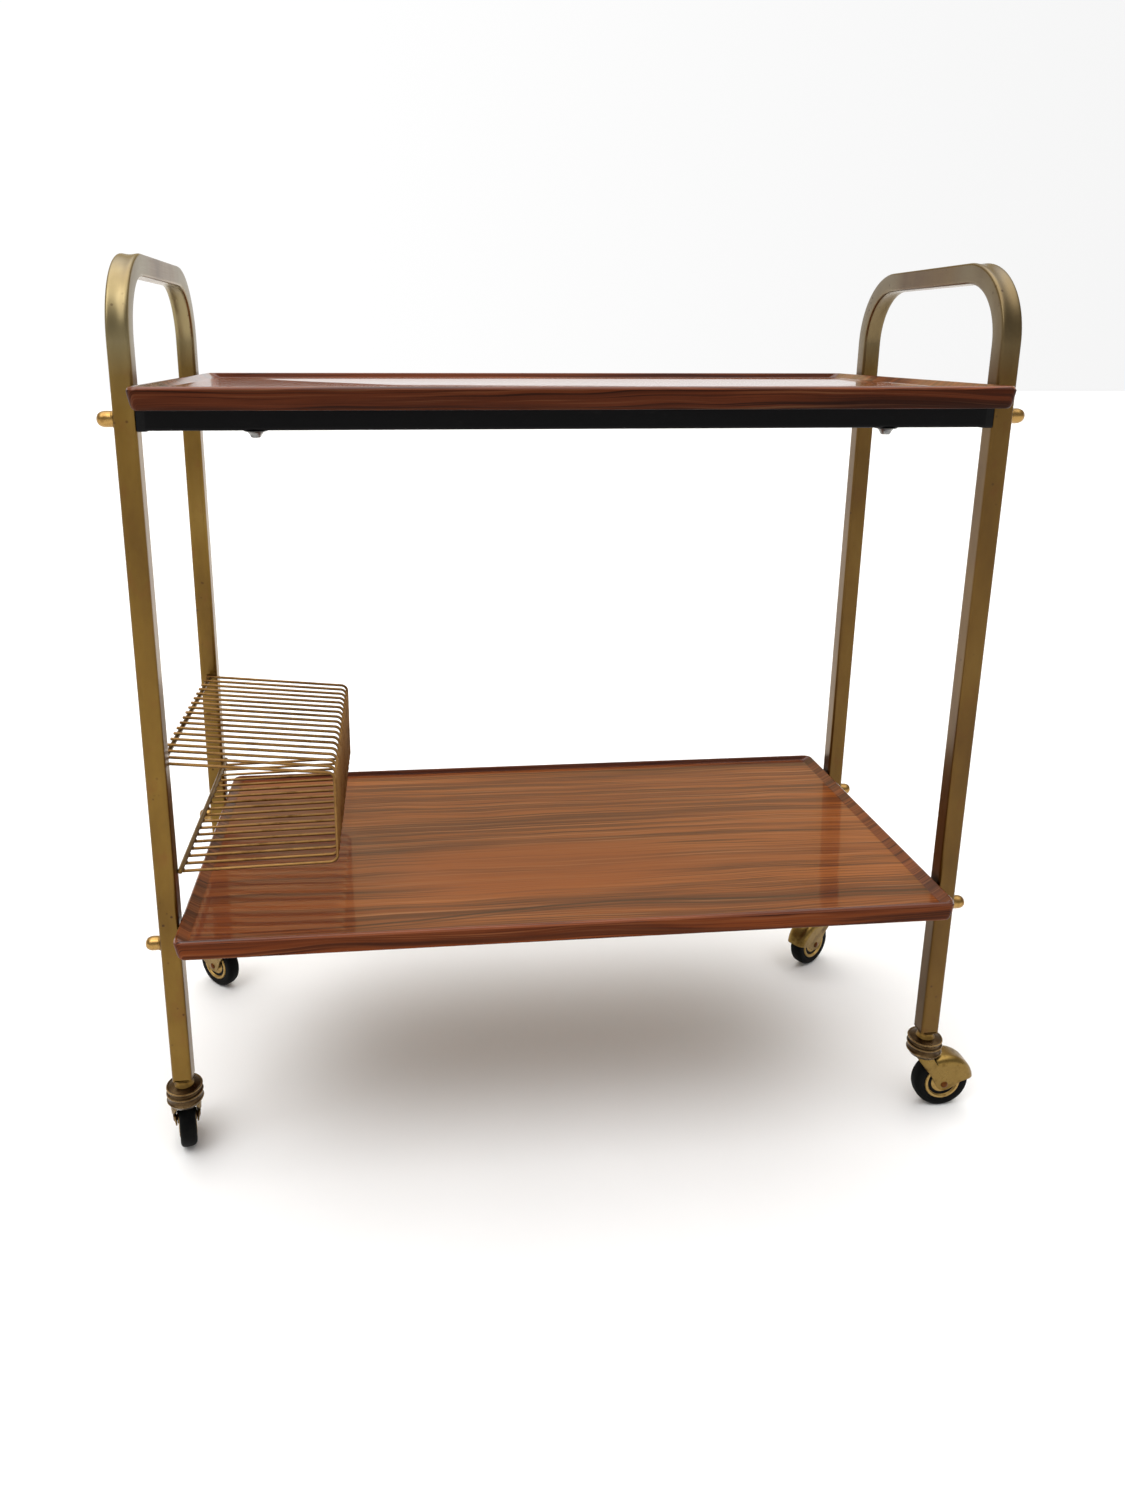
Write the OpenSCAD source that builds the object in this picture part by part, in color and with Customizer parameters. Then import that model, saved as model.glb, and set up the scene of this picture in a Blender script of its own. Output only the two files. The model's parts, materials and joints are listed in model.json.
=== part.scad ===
// Two-tier serving trolley: two bent square-tube hoops, two moulded trays on
// black rails, a wire paper rack and four swivel castors. Millimetres.
// +X runs along the trays, +Y to the back, +Z up; the floor is z = 0.

/* [Frame] */
// Distance between the centre planes of the two hoops
hoop_spacing = 649; // [620:1:700]
// Distance between the centre lines of the two legs of one hoop
leg_spacing = 243; // [236:1:270]
// Height of the top of the handle bars above the floor
hoop_top = 733; // [715:1:780]
// Outer side of the square tube
tube = 16; // [15.5:0.1:17]
// Wall of the square tube
tube_wall = 1.5; // [1:0.1:2]
// Centre-line radius of the bends at the top of a hoop
bend_r = 54; // [40:1:70]

/* [Trays] */
// Length of a tray over its rim
tray_l = 630; // [600:1:632]
// Width of a tray over its rim
tray_w = 328; // [300:1:360]
// Height of a tray from its underside to the top of its rim
tray_h = 16; // [15:0.5:20]
// Depth of a tray's floor below the top of its rim
tray_depth = 4.5; // [3.5:0.5:8]
// Height of the rim of the upper tray above the floor
top_rim_z = 642; // [600:1:660]
// Height of the rim of the lower tray above the floor
low_rim_z = 227; // [200:1:235]
// Distance of the fixing bolts from the middle of a tray
bolt_x = 235.5; // [200:0.5:260]

/* [Wire rack] */
// Number of bent wires
wire_n = 18; // [10:1:20]
// Diameter of a wire
wire_d = 2.5; // [2:0.1:3]
// Diameter of the two cross rods
rod_d = 4; // [3.5:0.1:5]
// Height of the upper cross rod's centre above the floor
rack_z = 350.2; // [345:0.1:380]
// Reach of the wires from the hoop's centre plane
rack_reach = 133.8; // [100:0.1:160]
// Clear drop from the upper cross rod to the lower one, centre to centre
rack_drop = 86.7; // [70:0.1:95]

/* [Castors] */
// Diameter of a castor wheel
wheel_d = 50; // [48:0.5:50]
// Distance of the axle from the swivel axis
trail = 18; // [17:0.5:19]
// Direction in which the front left wheel trails, degrees from +X
head_fl = 104; // [-180:1:180]
// Direction in which the front right wheel trails
head_fr = 0; // [-180:1:180]
// Direction in which the back left wheel trails
head_bl = 138; // [-180:1:180]
// Direction in which the back right wheel trails
head_br = 212; // [-180:1:180]

/* [Hidden] */
$fn = 64;

satin_brass = [0.62, 0.49, 0.25];
bright_brass = [0.80, 0.66, 0.36];
walnut = [0.45, 0.22, 0.12];
black_paint = [0.05, 0.05, 0.05];
black_plastic = [0.08, 0.08, 0.08];
zinc = [0.72, 0.72, 0.70];
rubber = [0.07, 0.07, 0.07];

lx = hoop_spacing / 2;
wy = leg_spacing / 2;
half = tube / 2;
castor_h = 77.5;
corner_r = 2;
fit = 0.05;

nut_r = 6.2;
nut_l = 12.5;
stud_r = 3;
stud_in = 15;
rail_end_l = 20;
rail_flange_t = 6;
rail_flange_drop = 0.6;
stud_zs = [top_rim_z - tray_h - half, low_rim_z - tray_h - half];

floor_t = tray_h - tray_depth;
end_lip = 2.5;
end_run = 9.7;
side_lip = 2.8;
side_run = 3.8;
plan_r = 8;
insert_r = 5;
insert_h = 3.4;
bolt_r = 2.5;
washer_t = 1.2;

axle_z = wheel_d / 2;
hood_r = axle_z + 3.5;
lip_angle = 12;
cheek_low = [9.6, 15];
cheek_high = [15.2, 60];
sheet_t = 1.6;
axle_r = 2.5;
stem_r = 4;
cup_top = 67.1;
cap_bottom = 67.5;
race_r = 9;
ball_r = 1.6;
ball_n = 10;
ball_z = (cup_top + cap_bottom) / 2;
fork_top = 53;
eye_r = 6;
eye_y = 11.6;
eye_in = 8.9;

// How far a castor reaches from its swivel axis towards an angle from its heading: the corner of
// the hood's rear lip
lip_x = trail + hood_r * cos(lip_angle);
lip_z = axle_z + hood_r * sin(lip_angle);
lip_y = cheek_low[0] + (lip_z - cheek_low[1]) * (cheek_high[0] - cheek_low[0])
  / (cheek_high[1] - cheek_low[1]);
function reach(angle) = lip_x * cos(angle) + lip_y * abs(sin(angle));
// The castors stick out unequally left and right, so the cart is moved to centre its outline
outline_shift = (reach(180 - head_bl) - reach(head_fr)) / 2;

// ---- helpers ----
module rounded(w, h, r) {
  square([w - 2 * r, h], center = true);
  square([w, h - 2 * r], center = true);
  for (sx = [-1, 1], sy = [-1, 1])
    translate([sx * (w / 2 - r), sy * (h / 2 - r)])
      circle(r);
}

module tube_section() {
  difference() {
    rounded(tube, tube, corner_r);
    rounded(tube - 2 * tube_wall, tube - 2 * tube_wall, corner_r / 2);
  }
}

module placed() {
  translate([outline_shift, 0, 0])
    children();
}

// sx, sy are the signs of the leg's corner
module at_leg(sx, sy) {
  placed()
    translate([sx * lx, sy * wy, 0])
      children();
}

module x_cylinder(r, l) {
  rotate([0, 90, 0])
    cylinder(r = r, h = l);
}

module y_rod(r, l) {
  rotate([90, 0, 0])
    cylinder(r = r, h = l, center = true);
}

// ---- hoops ----
// The hoop lies in its own XY plane: x across the cart, y up
module hoop_tube() {
  bend_y = hoop_top - half - bend_r;
  for (s = [-1, 1])
    translate([s * wy, castor_h, 0])
      rotate([-90, 0, 0])
        linear_extrude(bend_y - castor_h)
          tube_section();
  translate([bend_r - wy, bend_y, 0])
    rotate([0, 0, 90])
      rotate_extrude(angle = 90)
        translate([bend_r, 0])
          tube_section();
  translate([wy - bend_r, bend_y, 0])
    rotate_extrude(angle = 90)
      translate([bend_r, 0])
        tube_section();
  translate([bend_r - wy, hoop_top - half, 0])
    rotate([0, 90, 0])
      linear_extrude(2 * (wy - bend_r))
        tube_section();
}

module hoop(sx, rod_holes) {
  color(satin_brass)
    placed()
      translate([sx * lx, 0, 0])
        rotate([90, 0, 90])
          difference() {
            hoop_tube();
            for (s = [-1, 1], z = stud_zs)
              translate([s * wy, z, 0])
                cylinder(r = stud_r + fit, h = tube + 2, center = true);
            if (rod_holes)
              translate([0, rack_z, 0])
                rotate([0, 90, 0])
                  cylinder(r = rod_d / 2 + fit, h = leg_spacing, center = true);
          }
}

module hoop_left() hoop(-1, true);
module hoop_right() hoop(1, false);

// ---- trays ----
// Ends of the tray seen from the front: rounded under, with a bevelled rim
function end_outline(w) = [
  [-(w - 8), 0], [w - 8, 0], [w - 4, 1.6], [w - 2, 5], [w - 0.6, 10],
  [w, tray_h - 2.2], [w - 1.2, tray_h], [-(w - 1.2), tray_h], [-w, tray_h - 2.2],
  [-(w - 0.6), 10], [-(w - 2), 5], [-(w - 4), 1.6]];

// Long sides: upright
function side_outline(w) = [
  [-(w - 1), 0], [w - 1, 0], [w, 1], [w, tray_h - 2.2], [w - 1.2, tray_h],
  [-(w - 1.2), tray_h], [-w, tray_h - 2.2], [-w, 1]];

// The hollow over the floor: lip is the width of the rim, run reaches to the floor's edge
function hollow(w, lip, run) = [
  [-(w - run), floor_t], [w - run, floor_t], [w - lip, tray_h],
  [w - lip, tray_h + 1], [-(w - lip), tray_h + 1], [-(w - lip), tray_h]];

module along_y(l) {
  rotate([90, 0, 0])
    linear_extrude(l, center = true)
      children();
}

module along_x(l) {
  rotate([90, 0, 90])
    linear_extrude(l, center = true)
      children();
}

module tray(rim_z) {
  hl = tray_l / 2;
  hw = tray_w / 2;
  color(walnut)
    placed()
      translate([0, 0, rim_z - tray_h])
        difference() {
          intersection() {
            along_y(tray_w + 2) polygon(end_outline(hl));
            along_x(tray_l + 2) polygon(side_outline(hw));
            linear_extrude(tray_h) rounded(tray_l, tray_w, plan_r);
          }
          intersection() {
            along_y(tray_w + 2) polygon(hollow(hl, end_lip, end_run));
            along_x(tray_l + 2) polygon(hollow(hw, side_lip, side_run));
            linear_extrude(tray_h + 2)
              rounded(tray_l - 2 * end_lip, tray_w - 2 * side_lip, plan_r - 2.5);
          }
          for (sx = [-1, 1], sy = [-1, 1])
            translate([sx * bolt_x, sy * wy, -1])
              cylinder(r = insert_r + fit, h = insert_h + 1);
        }
}

module tray_top() tray(top_rim_z);
module tray_bottom() tray(low_rim_z);

// ---- rails under the trays ----
module rail(rim_z, sy) {
  rail_l = hoop_spacing - tube - 2 * rail_flange_t;
  color(black_paint)
    placed()
      translate([0, sy * wy, rim_z - tray_h - half])
        difference() {
          along_x(rail_l) tube_section();
          for (sx = [-1, 1])
            translate([sx * bolt_x, 0, 0])
              cylinder(r = bolt_r + 0.2, h = tube + 2, center = true);
        }
}

module rail_top_front() rail(top_rim_z, -1);
module rail_top_back() rail(top_rim_z, 1);
module rail_bottom_front() rail(low_rim_z, -1);
module rail_bottom_back() rail(low_rim_z, 1);

// Every leg and level, turned so that local +x points out of the leg
module at_studs() {
  for (sy = [-1, 1], z = stud_zs) {
    at_leg(1, sy)
      translate([0, 0, z])
        children();
    at_leg(-1, sy)
      translate([0, 0, z])
        rotate([0, 0, 180])
          children();
  }
}

// Moulded plug in each end of a rail, with a flange between the rail and the leg
module rail_end_plugs() {
  side = tube - 2 * tube_wall - 2 * fit;
  color(black_plastic)
    at_studs()
      difference() {
        union() {
          translate([-half - rail_flange_t / 2, 0, -rail_flange_drop / 2])
            along_x(rail_flange_t)
              rounded(tube, tube + rail_flange_drop, corner_r);
          translate([-half - rail_end_l / 2 - 1, 0, 0])
            along_x(rail_end_l)
              rounded(side, side, corner_r / 2);
        }
        translate([-half - rail_end_l - 2, 0, 0])
          x_cylinder(stud_r + fit, rail_end_l + 3);
      }
}

module rail_studs() {
  color(zinc)
    at_studs()
      translate([-half - stud_in, 0, 0])
        x_cylinder(stud_r, stud_in + tube + 8);
}

module acorn_nuts() {
  color(bright_brass)
    at_studs()
      translate([half, 0, 0])
        difference() {
          union() {
            x_cylinder(nut_r, nut_l - nut_r);
            translate([nut_l - nut_r, 0, 0])
              sphere(nut_r);
          }
          translate([-nut_r * 2, -nut_r * 2, -nut_r * 2])
            cube([nut_r * 2, nut_r * 4, nut_r * 4]);
          translate([-1, 0, 0])
            x_cylinder(stud_r + fit, 10);
        }
}

// ---- tray fixings: bolt and washer from below, threaded insert in the tray ----
module at_bolts() {
  for (z = [top_rim_z, low_rim_z], sx = [-1, 1], sy = [-1, 1])
    placed()
      translate([sx * bolt_x, sy * wy, z - tray_h - tube])
        children();
}

module tray_bolts() {
  head_h = 4.2;
  head_foot_r = 3.4;
  head_seat_r = 5.8;
  color(zinc)
    at_bolts() {
      translate([0, 0, -washer_t - head_h])
        cylinder(r1 = head_foot_r, r2 = head_seat_r, h = head_h);
      translate([0, 0, -washer_t - 0.5])
        cylinder(r = bolt_r, h = washer_t + 0.5 + tube + insert_h - 0.6);
    }
}

module tray_washers() {
  washer_r = 8.5;
  color(zinc)
    at_bolts()
      translate([0, 0, -washer_t])
        difference() {
          cylinder(r1 = washer_r - 0.4, r2 = washer_r, h = washer_t);
          translate([0, 0, -1])
            cylinder(r = bolt_r + fit, h = washer_t + 2);
        }
}

module tray_inserts() {
  color(zinc)
    at_bolts()
      translate([0, 0, tube])
        difference() {
          cylinder(r = insert_r, h = insert_h);
          translate([0, 0, -1])
            cylinder(r = bolt_r + fit, h = insert_h + 2);
        }
}

// ---- wire rack ----
wire_r = wire_d / 2;
rod_r = rod_d / 2;
wire_bend = 6;
upper_fall = 5.64;
lower_rise = 1.15;
wire_pitch = (leg_spacing - tube - 4) / (wire_n - 1);
rack_right = -lx + rack_reach;
upper_x = -lx - rod_r;
upper_z = rack_z + rod_r + wire_r;
lower_rod_x = -lx + half + rod_r + fit;
lower_rod_z = rack_z - rack_drop;
lower_x = lower_rod_x - rod_r + 0.2;
lower_z = lower_rod_z - rod_r - wire_r;

// Straight wire in the XZ plane from p to q, a hair thinner than the bends it runs into
module straight(p, q) {
  into = 0.3;
  d = q - p;
  translate([p[0], 0, p[1]])
    rotate([0, 90 - atan2(d[1], d[0]), 0])
      translate([0, 0, -into])
        cylinder(r = wire_r - 0.02, h = norm(d) + 2 * into);
}

// Bent wire in the XZ plane round centre c between two angles
module bend(c, a0, a1) {
  translate([c[0], 0, c[1]])
    rotate([90, 0, 0])
      rotate([0, 0, a0])
        rotate_extrude(angle = a1 - a0)
          translate([wire_bend, 0])
            circle(wire_r);
}

module rack_wire() {
  bend_x = rack_right - wire_bend;
  p_x = bend_x + wire_bend * sin(upper_fall);
  p_z = upper_z - (p_x - upper_x) * tan(upper_fall);
  c1_z = p_z - wire_bend * cos(upper_fall);
  q_x = bend_x + wire_bend * sin(lower_rise);
  q_z = lower_z + (q_x - lower_x) * tan(lower_rise);
  c2_z = q_z + wire_bend * cos(lower_rise);
  straight([upper_x, upper_z], [p_x, p_z]);
  bend([bend_x, c1_z], 0, 90 - upper_fall);
  straight([rack_right, c1_z], [rack_right, c2_z]);
  bend([bend_x, c2_z], lower_rise - 90, 0);
  straight([q_x, q_z], [lower_x, lower_z]);
}

module rack_wires() {
  color(bright_brass)
    placed()
      for (i = [0 : wire_n - 1])
        translate([0, (i - (wire_n - 1) / 2) * wire_pitch, 0])
          rack_wire();
}

// The upper rod sits in holes in the two left legs
module rack_upper_rod() {
  color(bright_brass)
    placed()
      translate([-lx, 0, rack_z])
        y_rod(rod_r, leg_spacing - tube + 8);
}

// The lower rod lies against the inner faces of the two left legs
module rack_lower_rod() {
  color(bright_brass)
    placed()
      translate([lower_rod_x, 0, lower_rod_z])
        y_rod(rod_r, leg_spacing - 4);
}

// ---- leg end plugs ----
module plug(sx, sy) {
  inner = tube - 2 * tube_wall - 2 * fit;
  foot_h = 3.5;
  foot = [[-half, foot_h], [-half, 1.8], [-half + 2.2, 0],
    [half - 2.2, 0], [half, 1.8], [half, foot_h]];
  color(satin_brass)
    at_leg(sx, sy)
      translate([0, 0, castor_h - foot_h])
        difference() {
          union() {
            intersection() {
              along_x(tube) polygon(foot);
              along_y(tube) polygon(foot);
              linear_extrude(foot_h) rounded(tube, tube, corner_r);
            }
            translate([0, 0, foot_h - 0.01])
              linear_extrude(24)
                rounded(inner, inner, corner_r / 2);
          }
          translate([0, 0, -1])
            cylinder(r = stem_r + fit, h = foot_h + 26);
        }
}

module plug_fl() plug(-1, -1);
module plug_fr() plug(1, -1);
module plug_bl() plug(-1, 1);
module plug_br() plug(1, 1);

// ---- castor stem with its riveted foot ----
module stem(sx, sy) {
  head_h = 2.2;
  color(zinc)
    at_leg(sx, sy) {
      translate([0, 0, fork_top - 0.4 - head_h])
        cylinder(r = 6.2, h = head_h);
      translate([0, 0, fork_top - 0.5])
        cylinder(r = stem_r, h = castor_h + 20 - fork_top);
    }
}

module stem_fl() stem(-1, -1);
module stem_fr() stem(1, -1);
module stem_bl() stem(-1, 1);
module stem_br() stem(1, 1);

// ---- fixed cap over the swivel bearing ----
module cap(sx, sy) {
  top = castor_h - 3.5;
  color(bright_brass)
    at_leg(sx, sy)
      rotate_extrude()
        difference() {
          polygon([[stem_r + fit, cap_bottom], [13.6, cap_bottom],
            [14.5, 68.2], [14.8, 69.4], [14.4, 70.8], [13.2, 71.8],
            [10.4, 72.7], [8.2, 73.2], [7.2, top], [stem_r + fit, top]]);
          translate([race_r, ball_z])
            circle(ball_r + 0.02);
        }
}

module cap_fl() cap(-1, -1);
module cap_fr() cap(1, -1);
module cap_bl() cap(-1, 1);
module cap_br() cap(1, 1);

module bearing_balls() {
  color(zinc)
    for (sx = [-1, 1], sy = [-1, 1])
      at_leg(sx, sy)
        for (i = [0 : ball_n - 1])
          rotate([0, 0, i * 360 / ball_n])
            translate([race_r, 0, ball_z])
              sphere(ball_r);
}

// ---- hooded fork; local +x is the direction in which the wheel trails ----
// Side view of the cheeks and hood
module fork_side() {
  polygon([[12.5, 20.5], [2, 40], [-9, 55], [-9, 58], [16, 58],
    [trail + 3, 48], [44, 31.5], [33, 27.5], [23.5, 19.6]]);
  translate([trail, axle_z]) {
    circle(eye_r + 1);
    intersection() {
      circle(hood_r);
      polygon([[0, 0], [60, 60 * tan(lip_angle)], [60, 80], [-20, 80]]);
    }
  }
}

// The hollow in it, open at the front and below
module fork_hollow() {
  translate([-40, -10])
    square([40 + trail, fork_top + 10]);
  translate([trail, axle_z]) {
    circle(hood_r - sheet_t);
    polygon([[0, 0], [60, 60 * tan(lip_angle - 1)], [60, -60], [0, -60]]);
  }
}

// Front view: cheeks spread from the axle up to the cup; t is the inset
module fork_front(t) {
  low = cheek_low - [t, 0];
  high = cheek_high - [t, 0];
  polygon([[-low[0], low[1]], low, high, [-high[0], high[1]]]);
}

module fork_cup() {
  rotate_extrude()
    difference() {
      polygon([[stem_r + fit, fork_top], [12.6, fork_top], [13.4, 55.5],
        [14.7, 58], [15.2, 60.5], [15.2, 63], [14.6, 64.4], [13, 64.9],
        [13, cup_top], [stem_r + fit, cup_top]]);
      translate([race_r, ball_z])
        circle(ball_r + 0.4);
    }
}

module fork_body() {
  difference() {
    union() {
      difference() {
        intersection() {
          along_y(40) fork_side();
          translate([trail, 0, 0])
            along_x(100) fork_front(0);
        }
        intersection() {
          along_y(40) fork_hollow();
          translate([trail, 0, 0])
            along_x(140) fork_front(sheet_t);
        }
      }
      for (s = [-1, 1])
        translate([trail, s * (eye_in + eye_y) / 2, axle_z])
          y_rod(eye_r, eye_y - eye_in);
    }
    translate([0, 0, fork_top])
      cylinder(r = 13, h = 20);
    translate([trail, 0, axle_z])
      y_rod(axle_r, 40);
  }
  fork_cup();
}

module on_castor(sx, sy, heading) {
  at_leg(sx, sy)
    rotate([0, 0, heading])
      children();
}

module fork(sx, sy, heading) {
  color(bright_brass)
    on_castor(sx, sy, heading)
      fork_body();
}

module fork_fl() fork(-1, -1, head_fl);
module fork_fr() fork(1, -1, head_fr);
module fork_bl() fork(-1, 1, head_bl);
module fork_br() fork(1, 1, head_br);

// ---- axle: rivet through both eyes ----
module axle(sx, sy, heading) {
  head_h = 1.3;
  color(bright_brass)
    on_castor(sx, sy, heading)
      translate([trail, 0, axle_z]) {
        y_rod(axle_r, 2 * eye_y + 1);
        for (s = [-1, 1])
          translate([0, s * (eye_y + head_h / 2), 0])
            y_rod(3.6, head_h);
      }
}

module axle_fl() axle(-1, -1, head_fl);
module axle_fr() axle(1, -1, head_fr);
module axle_bl() axle(-1, 1, head_bl);
module axle_br() axle(1, 1, head_br);

// ---- wheel: dished hub and tyre, turned about the axle ----
module wheel_solid() {
  translate([trail, 0, axle_z])
    rotate([90, 0, 0])
      rotate_extrude()
        children();
}

module hub(sx, sy, heading) {
  color(bright_brass)
    on_castor(sx, sy, heading)
      wheel_solid()
        polygon([[axle_r + fit, -8.5], [5.2, -8.5], [5.6, -3], [12.4, -2],
          [14.6, -6.1], [16.8, -6.5], [17.2, -5.6], [17.2, 5.6],
          [16.8, 6.5], [14.6, 6.1], [12.4, 2], [5.6, 3], [5.2, 8.5],
          [axle_r + fit, 8.5]]);
}

module hub_fl() hub(-1, -1, head_fl);
module hub_fr() hub(1, -1, head_fr);
module hub_bl() hub(-1, 1, head_bl);
module hub_br() hub(1, 1, head_br);

module tyre(sx, sy, heading) {
  r = axle_z;
  color(rubber)
    on_castor(sx, sy, heading)
      wheel_solid()
        polygon([[17.25, -6], [18.2, -6.7], [20.5, -7], [22.8, -6.4],
          [r - 0.9, -4.9], [r - 0.2, -3], [r, -1.4], [r, 1.4], [r - 0.2, 3],
          [r - 0.9, 4.9], [22.8, 6.4], [20.5, 7], [18.2, 6.7], [17.25, 6]]);
}

module tyre_fl() tyre(-1, -1, head_fl);
module tyre_fr() tyre(1, -1, head_fr);
module tyre_bl() tyre(-1, 1, head_bl);
module tyre_br() tyre(1, 1, head_br);

hoop_left();
hoop_right();
tray_top();
tray_bottom();
rail_top_front();
rail_top_back();
rail_bottom_front();
rail_bottom_back();
rail_end_plugs();
rail_studs();
acorn_nuts();
tray_bolts();
tray_washers();
tray_inserts();
rack_wires();
rack_upper_rod();
rack_lower_rod();
plug_fl();
plug_fr();
plug_bl();
plug_br();
stem_fl();
stem_fr();
stem_bl();
stem_br();
cap_fl();
cap_fr();
cap_bl();
cap_br();
bearing_balls();
fork_fl();
fork_fr();
fork_bl();
fork_br();
axle_fl();
axle_fr();
axle_bl();
axle_br();
hub_fl();
hub_fr();
hub_bl();
hub_br();
tyre_fl();
tyre_fr();
tyre_bl();
tyre_br();
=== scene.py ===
"""Looks of the bar cart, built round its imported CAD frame. Metres, floor at z = 0."""

import json
import math

import bmesh
import bpy
from mathutils import Matrix, Vector


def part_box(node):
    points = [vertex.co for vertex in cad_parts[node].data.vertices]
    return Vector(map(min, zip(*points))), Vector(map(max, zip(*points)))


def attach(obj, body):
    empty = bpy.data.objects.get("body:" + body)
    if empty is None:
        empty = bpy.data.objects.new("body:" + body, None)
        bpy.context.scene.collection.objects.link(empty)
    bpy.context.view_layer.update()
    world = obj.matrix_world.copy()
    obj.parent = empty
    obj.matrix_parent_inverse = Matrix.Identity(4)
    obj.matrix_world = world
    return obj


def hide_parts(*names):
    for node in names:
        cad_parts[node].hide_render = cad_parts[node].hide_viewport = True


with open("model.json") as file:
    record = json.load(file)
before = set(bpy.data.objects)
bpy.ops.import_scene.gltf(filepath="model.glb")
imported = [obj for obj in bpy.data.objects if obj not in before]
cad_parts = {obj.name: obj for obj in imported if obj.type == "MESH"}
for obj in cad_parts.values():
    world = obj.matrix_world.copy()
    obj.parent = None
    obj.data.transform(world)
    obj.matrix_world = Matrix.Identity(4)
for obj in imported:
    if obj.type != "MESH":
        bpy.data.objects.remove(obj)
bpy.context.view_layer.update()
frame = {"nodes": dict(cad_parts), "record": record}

MM = 0.001
TAU = 2 * math.pi


# ---------------------------------------------------------------- places taken from the frame
def middle(node):
    """Centre of a CAD node's box."""
    low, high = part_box(node)
    return (Vector(low) + Vector(high)) / 2


def span(node):
    """Size of a CAD node's box."""
    low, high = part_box(node)
    return Vector(high) - Vector(low)


HOOPS = {"left": -1, "right": 1}
CORNERS = {"fl": (-1, -1), "fr": (1, -1), "bl": (-1, 1), "br": (1, 1)}
TUBE = span("hoop_left").x
LEG_Y = (span("hoop_left").y - TUBE) / 2
HOOP_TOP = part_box("hoop_left")[1][2]
LEG_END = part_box("hoop_left")[0][2]
BEND_R = 54 * MM
EDGE_R = 2.2 * MM
CENTRE_X = (middle("hoop_left").x + middle("hoop_right").x) / 2
JOINTS = {j["name"]: j for j in frame["record"]["behaviour"]["joints"]}


def smooth(t):
    """0 to 1 with a gentle start and end."""
    t = min(max(t, 0), 1)
    return t * t * (3 - 2 * t)


# ---------------------------------------------------------------- mesh helpers
def mesh_object(name, verts, faces, material, body, nodes=(), slot=None, sharp=35):
    """A new mesh piece with smooth shading, riding on a body and standing for CAD nodes."""
    mesh = bpy.data.meshes.new(name)
    mesh.from_pydata([tuple(v) for v in verts], [], faces)
    mesh.validate()
    obj = bpy.data.objects.new(name, mesh)
    bpy.context.scene.collection.objects.link(obj)
    finish_mesh(obj, sharp)
    obj.data.materials.append(material)
    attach(obj, body)
    if nodes:
        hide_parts(*nodes)
    return obj


def finish_mesh(obj, sharp=35):
    """Outward normals, smooth faces and sharp edges above an angle."""
    bm = bmesh.new()
    bm.from_mesh(obj.data)
    bmesh.ops.recalc_face_normals(bm, faces=bm.faces)
    bm.to_mesh(obj.data)
    bm.free()
    obj.data.shade_smooth()
    obj.data.set_sharp_from_angle(angle=math.radians(sharp))


def grid_faces(rows, cols, base=0, wrap_cols=True):
    """Quads between rows of points that each hold cols points."""
    faces = []
    for i in range(rows - 1):
        for j in range(cols if wrap_cols else cols - 1):
            row = base + i * cols
            following = base + (i + 1) * cols
            right = (j + 1) % cols
            faces.append([row + j, row + right, following + right, following + j])
    return faces


def capped_faces(rows, cols):
    """Quads between closed rings of points, with one face over the first ring and one over the last."""
    faces = grid_faces(rows, cols)
    faces.append(list(range(cols)))
    faces.append(list(range((rows - 1) * cols, rows * cols)))
    return faces


def scaled(profile):
    """Millimetre pairs in metres."""
    return [(a * MM, b * MM) for a, b in profile]


def lathe(profile, steps=64, axis="z"):
    """Points and faces of (radius, height) pairs turned about an axis; the ends are closed."""
    verts = []
    for r, h in profile:
        for k in range(steps):
            a = TAU * k / steps
            p = {"z": (r * math.cos(a), r * math.sin(a), h),
                 "y": (r * math.cos(a), h, r * math.sin(a)),
                 "x": (h, r * math.cos(a), r * math.sin(a))}[axis]
            verts.append(Vector(p))
    return verts, capped_faces(len(profile), steps)


def rounded_path(points, radius, steps=6):
    """A polyline of 2-D points with each inner corner turned into an arc."""
    out = [Vector(points[0])]
    for before, corner, after in zip(points, points[1:], points[2:]):
        c = Vector(corner)
        a = (Vector(before) - c).normalized()
        b = (Vector(after) - c).normalized()
        half = a.angle(b) / 2
        centre = c + (a + b).normalized() * radius / math.sin(half)
        cut = radius / math.tan(half)
        start = c + a * cut - centre
        turn = start.angle_signed(c + b * cut - centre)
        for k in range(steps + 1):
            out.append(centre + Matrix.Rotation(-turn * k / steps, 2) @ start)
    out.append(Vector(points[-1]))
    return out


def joined(parts):
    """One list of points and faces from several."""
    verts, faces = [], []
    for v, f in parts:
        base = len(verts)
        verts += v
        faces += [[base + i for i in face] for face in f]
    return verts, faces


def moved(part, matrix):
    """The same points and faces, moved by a matrix."""
    verts, faces = part
    return [matrix @ v for v in verts], faces


def tube(path, radius, sides=12):
    """A round wire along a list of 3-D points, with slightly rounded ends."""
    end_out, end_size = radius * 0.35, radius * 0.7
    rings = []
    count = len(path)
    up = None
    for i, p in enumerate(path):
        t = (path[min(i + 1, count - 1)] - path[max(i - 1, 0)]).normalized()
        if up is None:
            up = t.orthogonal().normalized()
        side = t.cross(up).normalized()
        up = side.cross(t).normalized()
        rings.append((p, side, up, t))
    p, side, up, t = rings[0]
    stations = [(p - t * end_out, side, up, end_size)]
    stations += [(p, side, up, radius) for p, side, up, _ in rings]
    p, side, up, t = rings[-1]
    stations.append((p + t * end_out, side, up, end_size))
    verts = []
    for p, side, up, r in stations:
        for k in range(sides):
            a = TAU * k / sides
            verts.append(p + side * r * math.cos(a) + up * r * math.sin(a))
    return verts, capped_faces(len(stations), sides)


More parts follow.
